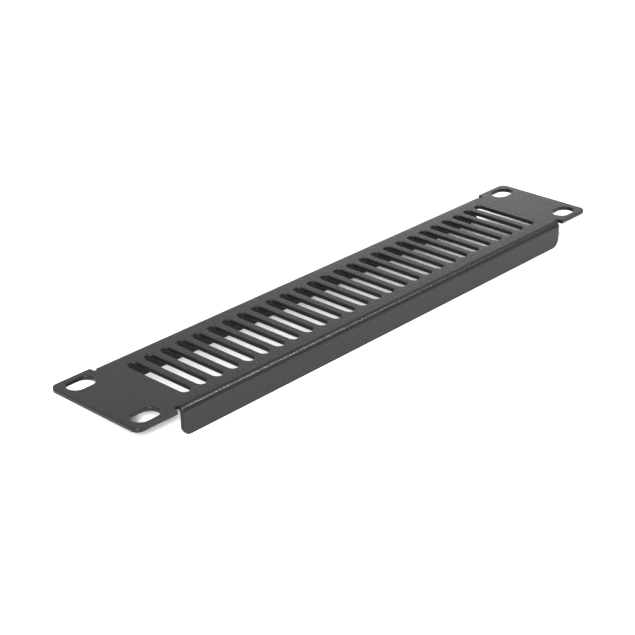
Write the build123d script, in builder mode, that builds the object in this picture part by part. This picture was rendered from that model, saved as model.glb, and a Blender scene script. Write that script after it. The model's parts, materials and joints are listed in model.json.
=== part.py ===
from build123d import *
import os

# Blanking panel for a 10-inch equipment rack, one rack unit high, folded from one sheet of steel.
# All sizes are in millimetres. The panel lies face up on the free edges of its two flanges:
# X runs along its length, Y up its height when it is screwed to a rack, and Z out of its front face.
# The origin is midway between the four screw slots, on the rear face of the ears,
# which is the face that seats on the rack's two uprights.

# Sheet, its powder coat included, and the inside of its folds
sheet_thickness = 1.6
bend_inside_radius = 0.8

# Front face, from the end of one ear to the end of the other
panel_length = 254.0
panel_height = 43.66
ear_length = 17.8
ear_corner_radius = 3.0
ear_inner_corner_radius = 0.6

# Relief notches, which part the ends of each fold from the ears
relief_width = 2.0
relief_past_bend = 0.2
relief_floor_radius = 0.8

# Flanges, folded back along both long edges, measured from the front face to their free edges
flange_depth = 11.0
flange_corner_radius = 3.6

# Screw slots in the ears, obround along the length so that the panel can be shifted to suit the rack.
# Their centres are set in from the ends and the edges to lie on the rack's 236.525 by 31.75 pattern.
screw_slot_from_end = 8.7375
screw_slot_from_edge = 5.955
screw_slot_length = 10.8
screw_slot_width = 7.0

# Vent slots across the face, spread evenly along it, the outer two centred in from the flanges' ends
vent_count = 27
vent_width = 4.25
vent_from_flange_end = 9.44
vent_from_edge = 7.08

# Heights of the sheet's two faces and of the flanges' free edges
rear_face_z = 0
front_face_z = rear_face_z + sheet_thickness
free_edge_z = front_face_z - flange_depth

# Lines across the height: both faces of the flanges, then what the folds take up and the notches with them
outer_face_y = panel_height / 2
inner_face_y = outer_face_y - sheet_thickness
bend_outside_radius = bend_inside_radius + sheet_thickness
relief_depth = bend_outside_radius + relief_past_bend

# Places along the length where the ears and the flanges end
ear_inner_x = panel_length / 2 - ear_length
flange_end_x = ear_inner_x - relief_width

# Patterns of the slots
screw_spacing_x = panel_length - 2 * screw_slot_from_end
screw_spacing_y = panel_height - 2 * screw_slot_from_edge
vent_pitch = 2 * (flange_end_x - vent_from_flange_end) / (vent_count - 1)
vent_length = panel_height - 2 * vent_from_edge

with BuildPart() as blanking_panel:
    # Flat face: full height at the ears, and cut back just past the bend lines between them
    with BuildSketch(Plane.XY.offset(rear_face_z)) as face:
        Rectangle(panel_length, panel_height)
        fillet(face.vertices(), ear_corner_radius)
        with Locations((0, outer_face_y), (0, -outer_face_y)):
            RectangleRounded(2 * ear_inner_x, 2 * relief_depth, relief_floor_radius, mode=Mode.SUBTRACT)
        inner_corners = face.vertices().filter_by_position(Axis.X, -ear_inner_x, ear_inner_x).group_by(Axis.Y)
        fillet(inner_corners[0] + inner_corners[-1], ear_inner_corner_radius)
    extrude(amount=sheet_thickness)

    # Folded section between the notches: the face with a flange bent back along each long edge
    with BuildSketch(Plane.YZ.offset(-flange_end_x)) as folded_section:
        with BuildLine():
            FilletPolyline(
                (-outer_face_y, free_edge_z),
                (-outer_face_y, front_face_z),
                (outer_face_y, front_face_z),
                (outer_face_y, free_edge_z),
                radius=bend_outside_radius,
            )
            Line((outer_face_y, free_edge_z), (inner_face_y, free_edge_z))
            FilletPolyline(
                (inner_face_y, free_edge_z),
                (inner_face_y, rear_face_z),
                (-inner_face_y, rear_face_z),
                (-inner_face_y, free_edge_z),
                radius=bend_inside_radius,
            )
            Line((-inner_face_y, free_edge_z), (-outer_face_y, free_edge_z))
        make_face()
    extrude(amount=2 * flange_end_x)

    # Rounded lower corners at both ends of each flange
    flange_corners = blanking_panel.edges().filter_by(Axis.Y).group_by(Axis.Z)[0]
    fillet(flange_corners, flange_corner_radius)

    # Screw slots through the ears
    with BuildSketch(Plane.XY.offset(rear_face_z)) as screw_slots:
        with GridLocations(screw_spacing_x, screw_spacing_y, 2, 2):
            SlotOverall(screw_slot_length, screw_slot_width)
    extrude(amount=sheet_thickness, mode=Mode.SUBTRACT)

    # Row of vent slots through the face
    with BuildSketch(Plane.XY.offset(rear_face_z)) as vent_slots:
        with GridLocations(vent_pitch, 0, vent_count, 1):
            SlotOverall(vent_length, vent_width, rotation=90)
    extrude(amount=sheet_thickness, mode=Mode.SUBTRACT)

blanking_panel.part.label = "blanking_panel"

os.makedirs("parts", exist_ok=True)
export_step(blanking_panel.part, "parts/blanking_panel.step")
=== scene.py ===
"""Blender scene of a vented blanking panel for a 10-inch equipment rack.

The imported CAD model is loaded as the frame, and the panel is modelled again over it as one folded
sheet with the soft edges and the fine grain of its powder coat. Sizes are in metres, in the frame's
axes: X along the panel, Y up its height, Z out of its front face, which lies upwards here.
"""

import json
import logging
import math
from collections.abc import Callable
from dataclasses import dataclass
from enum import Enum

import bmesh
import bpy
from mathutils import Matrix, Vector


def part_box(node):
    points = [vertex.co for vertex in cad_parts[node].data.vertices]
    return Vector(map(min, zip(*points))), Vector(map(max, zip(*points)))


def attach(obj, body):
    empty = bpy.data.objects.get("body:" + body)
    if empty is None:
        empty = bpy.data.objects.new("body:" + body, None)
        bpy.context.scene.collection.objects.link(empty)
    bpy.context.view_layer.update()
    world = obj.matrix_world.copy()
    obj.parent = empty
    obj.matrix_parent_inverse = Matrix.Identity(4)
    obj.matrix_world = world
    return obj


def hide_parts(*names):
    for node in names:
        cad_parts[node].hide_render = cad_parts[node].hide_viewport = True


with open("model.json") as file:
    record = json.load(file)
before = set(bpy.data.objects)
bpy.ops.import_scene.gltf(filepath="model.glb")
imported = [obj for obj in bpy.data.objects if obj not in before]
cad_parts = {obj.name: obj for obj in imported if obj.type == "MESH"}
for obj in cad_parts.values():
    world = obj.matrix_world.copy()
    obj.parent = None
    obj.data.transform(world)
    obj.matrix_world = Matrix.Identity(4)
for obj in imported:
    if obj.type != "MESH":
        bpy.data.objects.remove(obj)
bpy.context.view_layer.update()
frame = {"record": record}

MM = 0.001
PANEL_NODE = "blanking_panel"

# How near a point lies to a line that it is on, and how near to a point that it is one with
NEAR = 0.01 * MM
MERGE = 0.001 * MM

# Angles between two faces: flat enough to be one, smooth enough to shade as one, and an edge of the sheet
FLAT = math.radians(1)
SMOOTH = math.radians(35)
SHARP = math.radians(60)

# Least Z of an edge's direction where it stands upright, and the bevel profile of a round corner
UPRIGHT = 0.99
ROUND = 0.5

log = logging.getLogger("blanking_panel")


class LongEdge(Enum):
    """The two long edges of the panel, by their side of the middle."""

    LOWER = -1
    UPPER = 1


class PanelEnd(Enum):
    """The two ends of the panel, by their side of the middle."""

    RIGHT = 1
    LEFT = -1


class Part(Enum):
    """What is picked in edit mode."""

    POINT = "VERT"
    EDGE = "EDGE"


class Wire:
    """A shader socket that takes part in Python sums, each of which adds a Math node."""

    def __init__(self, shader: "Shader", socket: bpy.types.NodeSocket) -> None:
        """Keeps the socket and the shader that it belongs to."""
        self.shader = shader
        self.socket = socket

    def _math(self, operation: str, first: "Wire | float", second: "Wire | float") -> "Wire":
        """Adds one Math node.

        Args:
            operation: The Math node's operation.
            first: Its first value, a socket or a number.
            second: Its second value, a socket or a number.

        Returns:
            The node's result.
        """
        return self.shader.node("ShaderNodeMath", {"operation": operation}, {0: first, 1: second})

    def __add__(self, other: "Wire | float") -> "Wire":
        """This value plus another."""
        return self._math("ADD", self, other)

    def __radd__(self, other: float) -> "Wire":
        """A number plus this value."""
        return self._math("ADD", other, self)

    def __mul__(self, other: "Wire | float") -> "Wire":
        """This value times another."""
        return self._math("MULTIPLY", self, other)

    def __rmul__(self, other: float) -> "Wire":
        """A number times this value."""
        return self._math("MULTIPLY", other, self)


class Shader:
    """The node tree of one new material."""

    def __init__(self, name: str) -> None:
        """Starts a material with an empty tree."""
        self.material = bpy.data.materials.new(name)
        self.material.use_nodes = True
        self.tree = self.material.node_tree
        self.tree.nodes.clear()

    def node(self, kind: str, settings: dict[str, object], inputs: dict[int | str, object],
             output: int | str = 0) -> Wire:
        """Adds one node.

        Args:
            kind: The node's type.
            settings: Values of the node's own properties, set first.
            inputs: A number, colour or Wire for each socket, by its index or name.
            output: The output to hand back, by its index or name.

        Returns:
            The chosen output.
        """
        made = self.tree.nodes.new(kind)
        for name, value in settings.items():
            setattr(made, name, value)
        for key, value in inputs.items():
            if isinstance(value, Wire):
                self.tree.links.new(value.socket, made.inputs[key])
            else:
                made.inputs[key].default_value = value
        return Wire(self, made.outputs[output])

    def close(self, surface: Wire) -> bpy.types.Material:
        """Links the surface to the output.

        Args:
            surface: The finished shader.

        Returns:
            The material.
        """
        end = self.tree.nodes.new("ShaderNodeOutputMaterial")
        self.tree.links.new(surface.socket, end.inputs["Surface"])
        return self.material


@dataclass(frozen=True)
class PowderCoat:
    """Matt dark grey powder coat with a fine pebbled grain.

    Attributes:
        dark: Linear grey of the coat in the grain's hollows.
        light: Linear grey on the grain's tops.
        blue: How much more blue than red and green it reflects.
        grain_share: Share of the grain in the tone.
        cloud_share: Share of the clouds in the tone.
        roughness: Mean roughness of the coat.
        roughness_swing: How much rougher the grain's tops are than its hollows.
        sheen: Level of the coat's mirror light.
        grain_size: Width of one pebble of the grain.
        grain_height: Height of the pebbles.
        flow_size: Width of the long, shallow waves left where the powder flowed out.
        flow_height: Height of those waves.
        cloud_size: Width of the faint clouds of tone over the whole face.
        grain_octaves: Octaves of finer pattern over the grain.
        flow_octaves: The same over the waves.
        cloud_octaves: The same over the clouds.
    """

    dark: float = 0.004
    light: float = 0.008
    blue: float = 1.02
    grain_share: float = 0.7
    cloud_share: float = 0.3
    roughness: float = 0.26
    roughness_swing: float = 0.08
    sheen: float = 0.18
    grain_size: float = 0.7 * MM
    grain_height: float = 0.085 * MM
    flow_size: float = 2.4 * MM
    flow_height: float = 0.03 * MM
    cloud_size: float = 30 * MM
    grain_octaves: float = 2
    flow_octaves: float = 1
    cloud_octaves: float = 2

    def grey(self, level: float) -> tuple[float, float, float, float]:
        """A grey of the coat, a little blue."""
        return (level, level, level * self.blue, 1)

    def noise(self, shader: Shader, size: float, octaves: float) -> Wire:
        """Adds a noise pattern in the panel's own space.

        Args:
            shader: The material that it goes into.
            size: Width of one blob of the pattern.
            octaves: Octaves of finer pattern over it.

        Returns:
            The pattern's value, from 0 to 1.
        """
        place = shader.node("ShaderNodeTexCoord", {}, {}, "Object")
        return shader.node("ShaderNodeTexNoise", {},
                           {"Vector": place, "Scale": 1 / size, "Detail": octaves}, "Fac")

    def material(self) -> bpy.types.Material:
        """Builds the coat.

        Returns:
            The finished material.
        """
        shader = Shader("matt_powder_coat")
        grain = self.noise(shader, self.grain_size, self.grain_octaves)
        flow = self.noise(shader, self.flow_size, self.flow_octaves)
        cloud = self.noise(shader, self.cloud_size, self.cloud_octaves)
        height = grain * self.grain_height + flow * self.flow_height
        normal = shader.node("ShaderNodeBump", {}, {"Strength": 1, "Distance": 1, "Height": height})
        tone = self.grain_share * grain + self.cloud_share * cloud
        colour = shader.node("ShaderNodeMix", {"data_type": "RGBA"}, {
            "Factor": tone,
            "A": self.grey(self.dark),
            "B": self.grey(self.light),
        }, "Result")
        rough = self.roughness - self.roughness_swing / 2 + self.roughness_swing * grain
        surface = shader.node("ShaderNodeBsdfPrincipled", {}, {
            "Base Color": colour,
            "Roughness": rough,
            "Specular IOR Level": self.sheen,
            "Normal": normal,
        })
        return shader.close(surface)


@dataclass(frozen=True)
class PaleFloor:
    """Plain white floor of a studio table.

    Attributes:
        white: Linear white of the floor.
        roughness: Its roughness.
    """

    white: float = 0.82
    roughness: float = 0.6

    def material(self) -> bpy.types.Material:
        """Builds the floor's finish.

        Returns:
            The finished material.
        """
        shader = Shader("white_table")
        surface = shader.node("ShaderNodeBsdfPrincipled", {}, {
            "Base Color": (self.white, self.white, self.white, 1),
            "Roughness": self.roughness,
        })
        return shader.close(surface)


class Bench:
    """One mesh on the bench: shaped in edit mode, with its parts picked by their place."""

    def __init__(self, name: str, size: tuple[float, float], height: float) -> None:
        """Lays a flat plate and opens it in edit mode.

        Args:
            name: Name of the piece.
            size: Length and width of the plate.
            height: Its height in the frame.
        """
        bpy.ops.object.select_all(action="DESELECT")
        bpy.ops.mesh.primitive_plane_add(size=1, location=(0, 0, height))
        self.piece = bpy.context.object
        self.piece.name = name
        bpy.ops.object.transform_apply(location=True, rotation=True, scale=True)
        bpy.ops.object.mode_set(mode="EDIT")
        bpy.ops.mesh.select_all(action="SELECT")
        bpy.ops.transform.resize(value=(*size, 1), center_override=(0, 0, height))

    def pick(self, kind: Part, test: Callable[[Vector], bool]) -> None:
        """Selects the points or edges that lie wholly where a test says, and nothing else.

        Args:
            kind: What is picked.
            test: Says whether a point is in the place.
        """
        bpy.ops.mesh.select_mode(type=kind.value)
        bpy.ops.mesh.select_all(action="DESELECT")
        cage = bmesh.from_edit_mesh(self.piece.data)
        for part in cage.verts if kind is Part.POINT else cage.edges:
            corners = [part] if kind is Part.POINT else part.verts
            part.select_set(all(test(corner.co) for corner in corners))
        cage.select_flush_mode()
        bmesh.update_edit_mesh(self.piece.data)

    def pick_rims(self) -> None:
        """Selects the sharp edges round the sheet's two faces, but not those in the notches' corners."""
        bpy.ops.mesh.select_mode(type="EDGE")
        bpy.ops.mesh.select_all(action="DESELECT")
        cage = bmesh.from_edit_mesh(self.piece.data)
        cage.normal_update()
        for edge in cage.edges:
            upright = abs((edge.verts[0].co - edge.verts[1].co).normalized().z) > UPRIGHT
            inward = edge.calc_face_angle_signed(0) < 0
            edge.select_set(edge.calc_face_angle(0) > SHARP and not (upright and inward))
        cage.select_flush_mode()
        bmesh.update_edit_mesh(self.piece.data)

    def cut_across(self, x: float) -> None:
        """Scores the whole mesh along a line across the panel."""
        bpy.ops.mesh.select_all(action="SELECT")
        bpy.ops.mesh.bisect(plane_co=(x, 0, 0), plane_no=(1, 0, 0))

    def turn_outwards(self) -> None:
        """Merges what meets and turns the open skin's normals away from its hollow side."""
        bpy.ops.mesh.select_mode(type="VERT")
        bpy.ops.mesh.select_all(action="SELECT")
        bpy.ops.mesh.remove_doubles(threshold=MERGE)
        bpy.ops.mesh.normals_make_consistent(inside=False)
        cage = bmesh.from_edit_mesh(self.piece.data)
        highest = max(cage.faces, key=lambda face: face.calc_center_median().z)
        if highest.normal.z < 0:
            bpy.ops.mesh.flip_normals()

    def draw_out(self, shift: tuple[float, float, float]) -> None:
        """Extrudes the picked edges by a shift."""
        bpy.ops.mesh.extrude_region_move(TRANSFORM_OT_translate={"value": shift})

    def round_corners(self, radius: float, steps: int) -> None:
        """Rounds the picked corners of a flat outline.

        Args:
            radius: Radius of the corners.
            steps: Straight steps in each.
        """
        bpy.ops.mesh.bevel(offset=radius, offset_type="OFFSET", segments=steps, profile=ROUND,
                           affect="VERTICES", clamp_overlap=False)

    def add_slot(self, centre: tuple[float, float, float], size: tuple[float, float],
                 steps: int) -> None:
        """Draws the outline of an obround slot.

        Args:
            centre: Centre of the slot.
            size: Its size along X and Y.
            steps: Straight steps in each quarter of its round ends.
        """
        bpy.ops.mesh.select_all(action="DESELECT")
        bpy.ops.mesh.primitive_plane_add(size=1, location=centre)
        bpy.ops.transform.resize(value=(*size, 1), center_override=centre)
        self.round_corners(min(size) / 2, steps)
        bpy.ops.mesh.remove_doubles(threshold=MERGE)

    def repeat(self, step: tuple[float, float, float], count: int) -> None:
        """Copies what is picked again and again, one step on each time."""
        for _ in range(count):
            bpy.ops.mesh.duplicate()
            bpy.ops.transform.translate(value=step)

    def finish(self) -> bpy.types.Object:
        """Leaves edit mode and smooths what is meant to be round.

        Returns:
            The finished piece.
        """
        bpy.ops.object.mode_set(mode="OBJECT")
        bpy.ops.object.shade_smooth_by_angle(angle=SMOOTH)
        return self.piece


@dataclass(frozen=True)
class Steps:
    """How many straight steps each curve takes: a whole corner or bend, or a quarter of a slot's ends."""

    ear_corner: int = 12
    small_corner: int = 6
    screw_slot: int = 12
    vent: int = 10
    bend: int = 14
    flange_corner: int = 14
    coat_edge: int = 3


@dataclass
class BlankingPanel:
    """The panel: a flat face with two ears, four screw slots, a row of vents and two flanges.

    Attributes:
        length: Length over the ears.
        height: Height of the panel, and its width as it lies here.
        front_z: Height of the front face in the frame.
        free_edge_z: Height of the flanges' free edges.
        screw_spacing: Distances between the screw slots along X and Y.
        screw_slot: Length and width of a screw slot.
        thickness: Thickness of the sheet with its coat.
        bend_radius: Outside radius of the folds.
        ear_length: Length of an ear.
        ear_radius: Radius of the ears' outer corners.
        ear_inner_radius: Radius of their corners beside the notches.
        relief_width: Width of the notches that part the folds from the ears.
        relief_past_bend: How far the notches reach past the bend lines.
        relief_radius: Radius of the notches' floors.
        flange_radius: Radius of the flanges' lower corners.
        vent_count: Number of vent slots.
        vent_pitch: Distance from one vent slot to the next.
        vent_size: Width and length of a vent slot.
        edge_radius: Radius that the coat gives every edge of the sheet.
        steps: How finely its curves are divided.
        coat: Finish of the whole sheet.
    """

    length: float
    height: float
    front_z: float
    free_edge_z: float
    screw_spacing: tuple[float, float]
    screw_slot: tuple[float, float]
    thickness: float = 1.6 * MM
    bend_radius: float = 2.4 * MM
    ear_length: float = 17.8 * MM
    ear_radius: float = 3 * MM
    ear_inner_radius: float = 0.6 * MM
    relief_width: float = 2 * MM
    relief_past_bend: float = 0.2 * MM
    relief_radius: float = 0.8 * MM
    flange_radius: float = 3.6 * MM
    vent_count: int = 27
    vent_pitch: float = 7.52 * MM
    vent_size: tuple[float, float] = (4.25 * MM, 29.5 * MM)
    edge_radius: float = 0.3 * MM
    steps: Steps = Steps()
    coat: PowderCoat = PowderCoat()

    @classmethod
    def from_frame(cls) -> "BlankingPanel":
        """Takes the sizes that the frame knows.

        Returns:
            The panel, still to be built.
        """
        low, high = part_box(PANEL_NODE)
        screws = frame["record"]["mounts"][0]["dims"]
        return cls(
            length=high.x - low.x,
            height=high.y - low.y,
            front_z=high.z,
            free_edge_z=low.z,
            screw_spacing=(screws["spacing_x_mm"] * MM, screws["spacing_y_mm"] * MM),
            screw_slot=(screws["slot_length_mm"] * MM, 2 * screws["hole_r_mm"] * MM),
        )

    @property
    def bend_line(self) -> float:
        """Distance from the middle to the line where a fold starts."""
        return self.height / 2 - self.bend_radius

    @property
    def notch_floor(self) -> float:
        """Distance from the middle to the floor of a notch."""
        return self.bend_line - self.relief_past_bend

    @property
    def ear_start(self) -> float:
        """Distance from the middle to where an ear starts."""
        return self.length / 2 - self.ear_length

    @property
    def flange_end(self) -> float:
        """Distance from the middle to a flange's end."""
        return self.ear_start - self.relief_width

    def cut_outline(self) -> Bench:
        """Cuts the flat outline of the face and the ears, with the notches between them.

        Returns:
            The bench with the outline on it.
        """
        bench = Bench("folded_sheet", (self.length, 2 * self.notch_floor), self.front_z)
        for x in (self.ear_start, self.flange_end):
            bench.cut_across(-x)
            bench.cut_across(x)
        for edge in LongEdge:
            floor = edge.value * self.notch_floor
            bench.pick(Part.EDGE, lambda p: abs(p.y - floor) < NEAR and abs(p.x) < self.flange_end + NEAR)
            bench.draw_out((0, edge.value * (self.bend_line - self.notch_floor), 0))
            for end in PanelEnd:
                bench.pick(Part.EDGE, lambda p: abs(p.y - floor) < NEAR
                           and end.value * p.x > self.ear_start - NEAR)
                bench.draw_out((0, edge.value * (self.height / 2 - self.notch_floor), 0))
        bpy.ops.mesh.select_all(action="SELECT")
        bpy.ops.mesh.dissolve_limited(angle_limit=FLAT)
        half = self.length / 2
        top = self.height / 2
        bench.pick(Part.POINT, lambda p: abs(p.x) > half - NEAR and abs(p.y) > top - NEAR)
        bench.round_corners(self.ear_radius, self.steps.ear_corner)
        bench.pick(Part.POINT, lambda p: abs(abs(p.x) - self.ear_start) < NEAR and abs(p.y) > top - NEAR)
        bench.round_corners(self.ear_inner_radius, self.steps.small_corner)
        bench.pick(Part.POINT, lambda p: abs(abs(p.x) - self.ear_start) < NEAR
                   and abs(abs(p.y) - self.notch_floor) < NEAR)
        bench.round_corners(self.relief_radius, self.steps.small_corner)
        return bench

    def punch(self, bench: Bench) -> None:
        """Punches the screw slots and the vent slots, and fills the face between them.

        Args:
            bench: The bench with the outline on it.
        """
        for x in (-self.screw_spacing[0] / 2, self.screw_spacing[0] / 2):
            for y in (-self.screw_spacing[1] / 2, self.screw_spacing[1] / 2):
                bench.add_slot((x, y, self.front_z), self.screw_slot, self.steps.screw_slot)
        first = -self.vent_pitch * (self.vent_count - 1) / 2
        bench.add_slot((first, 0, self.front_z), self.vent_size, self.steps.vent)
        bench.repeat((self.vent_pitch, 0, 0), self.vent_count - 1)
        bpy.ops.mesh.select_all(action="SELECT")
        bpy.ops.mesh.delete(type="ONLY_FACE")
        bpy.ops.mesh.select_all(action="SELECT")
        bpy.ops.mesh.fill(use_beauty=True)

    def fold(self, bench: Bench) -> None:
        """Folds a flange back along each long edge and rounds its lower corners.

        Args:
            bench: The bench with the punched face on it.
        """
        for edge in LongEdge:
            line = edge.value * self.bend_line
            bench.pick(Part.EDGE, lambda p: abs(p.y - line) < NEAR and abs(p.x) < self.flange_end + NEAR)
            bpy.ops.mesh.spin(steps=self.steps.bend, angle=edge.value * math.pi / 2, axis=(1, 0, 0),
                              center=(0, line, self.front_z - self.bend_radius))
            bench.draw_out((0, 0, self.free_edge_z - self.front_z + self.bend_radius))
        bench.turn_outwards()
        bench.pick(Part.POINT, lambda p: abs(p.z - self.free_edge_z) < NEAR)
        bench.round_corners(self.flange_radius, self.steps.flange_corner)

    def thicken(self, bench: Bench) -> None:
        """Gives the outer skin its thickness, inwards, and the coat's round edges.

        Args:
            bench: The bench with the folded skin on it.
        """
        bpy.ops.object.mode_set(mode="OBJECT")
        wall = bench.piece.modifiers.new("wall", "SOLIDIFY")
        wall.thickness = self.thickness
        wall.offset = -1
        wall.use_even_offset = True
        wall.use_quality_normals = True
        bpy.ops.object.modifier_apply(modifier=wall.name)
        bpy.ops.object.mode_set(mode="EDIT")
        bench.pick_rims()
        bpy.ops.mesh.bevel(offset=self.edge_radius, offset_type="OFFSET", segments=self.steps.coat_edge,
                           profile=ROUND, affect="EDGES", clamp_overlap=False, loop_slide=False)

    def build(self) -> bpy.types.Object:
        """Builds, dresses and places the panel.

        Returns:
            The finished piece.
        """
        bench = self.cut_outline()
        self.punch(bench)
        self.fold(bench)
        self.thicken(bench)
        piece = bench.finish()
        even = piece.modifiers.new("even_shading", "WEIGHTED_NORMAL")
        even.keep_sharp = True
        bpy.ops.object.modifier_apply(modifier=even.name)
        piece.data.materials.clear()
        piece.data.materials.append(self.coat.material())
        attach(piece, "root")
        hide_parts(PANEL_NODE)
        return piece


@dataclass(frozen=True)
class Softbox:
    """One soft light.

    Attributes:
        name: Name of the light.
        place: Where it hangs.
        size: Its width, which lies level, and its height.
        power: Its power in watts.
    """

    name: str
    place: tuple[float, float, float]
    size: tuple[float, float]
    power: float


@dataclass
class Studio:
    """Floor, soft lights and camera.

    Attributes:
        floor_z: Height of the floor, where the flanges' free edges stand.
        floor_size: Width of the floor.
        room_light: Strength of the even white light of the room.
        softboxes: The soft lights.
        target: Point on the panel's face at the middle of the picture.
        azimuth: Bearing of the camera, from -Y towards +X, in degrees.
        elevation: Its height above the horizon, in degrees.
        distance: Its distance from the target.
        lens: Focal length in millimetres.
        sensor_width: Width of the camera's own picture in millimetres.
        clip: Nearest and furthest distance that the camera sees.
        finish: Finish of the floor.
    """

    floor_z: float
    floor_size: float = 6.0
    room_light: float = 1.1
    softboxes: tuple[Softbox, ...] = (
        Softbox("key_light", (-0.50, -0.39, 0.332), (0.08, 0.14), 12.0),
        Softbox("bend_light", (0.777, -0.556, 1.014), (0.3, 0.3), 11.5),
        Softbox("back_softbox", (0.2, 1.3, 0.5), (0.7, 0.7), 1.6),
        Softbox("low_right_softbox", (1.4, 1.1, 0.16), (0.5, 0.5), 1.5),
    )
    target: tuple[float, float, float] = (-28.17 * MM, -8.77 * MM, 1.6 * MM)
    azimuth: float = -47.83
    elevation: float = 25.68
    distance: float = 559.4 * MM
    lens: float = 87.7
    sensor_width: float = 36
    clip: tuple[float, float] = (0.01, 50)
    finish: PaleFloor = PaleFloor()

    def lay_floor(self) -> bpy.types.Object:
        """Lays the floor under the panel.

        Returns:
            The floor.
        """
        bpy.ops.object.select_all(action="DESELECT")
        bpy.ops.mesh.primitive_plane_add(size=self.floor_size, location=(0, 0, self.floor_z))
        floor = bpy.context.object
        floor.name = "floor"
        bpy.ops.object.transform_apply(location=True, rotation=True, scale=True)
        floor.data.materials.append(self.finish.material())
        return floor

    def hang_light(self, softbox: Softbox) -> bpy.types.Object:
        """Hangs one soft light so that it faces the panel.

        Args:
            softbox: The light to hang.

        Returns:
            The light.
        """
        lamp = bpy.data.lights.new(softbox.name, "AREA")
        lamp.shape = "RECTANGLE"
        lamp.size, lamp.size_y = softbox.size
        lamp.energy = softbox.power
        light = bpy.data.objects.new(softbox.name, lamp)
        bpy.context.scene.collection.objects.link(light)
        light.location = softbox.place
        light.rotation_euler = (-Vector(softbox.place)).to_track_quat("-Z", "Y").to_euler()
        return light

    def light(self) -> None:
        """Sets the even light of the room and the soft lights in it."""
        world = bpy.data.worlds.new("studio_room")
        world.use_nodes = True
        backdrop = world.node_tree.nodes["Background"]
        backdrop.inputs["Color"].default_value = (1, 1, 1, 1)
        backdrop.inputs["Strength"].default_value = self.room_light
        bpy.context.scene.world = world
        for softbox in self.softboxes:
            self.hang_light(softbox)
        bpy.context.scene.view_settings.view_transform = "Standard"

    def place_camera(self) -> bpy.types.Object:
        """Puts the camera where the photograph was taken from.

        Returns:
            The camera.
        """
        turn = math.radians(self.azimuth)
        rise = math.radians(self.elevation)
        back = Vector((math.sin(turn) * math.cos(rise), -math.cos(turn) * math.cos(rise), math.sin(rise)))
        lens = bpy.data.cameras.new("camera")
        lens.lens = self.lens
        lens.sensor_width = self.sensor_width
        lens.clip_start, lens.clip_end = self.clip
        camera = bpy.data.objects.new("camera", lens)
        bpy.context.scene.collection.objects.link(camera)
        camera.location = Vector(self.target) + self.distance * back
        camera.rotation_euler = (-back).to_track_quat("-Z", "Y").to_euler()
        bpy.context.scene.camera = camera
        return camera


def main() -> None:
    """Builds the panel and its studio."""
    logging.basicConfig(level=logging.INFO, format="%(name)s: %(message)s")
    panel = BlankingPanel.from_frame()
    sheet = panel.build()
    log.info("%s: %d faces", sheet.name, len(sheet.data.polygons))
    studio = Studio(floor_z=panel.free_edge_z)
    floor = studio.lay_floor()
    studio.light()
    camera = studio.place_camera()
    log.info("%s and %s are in place", floor.name, camera.name)


if __name__ == "__main__":
    main()
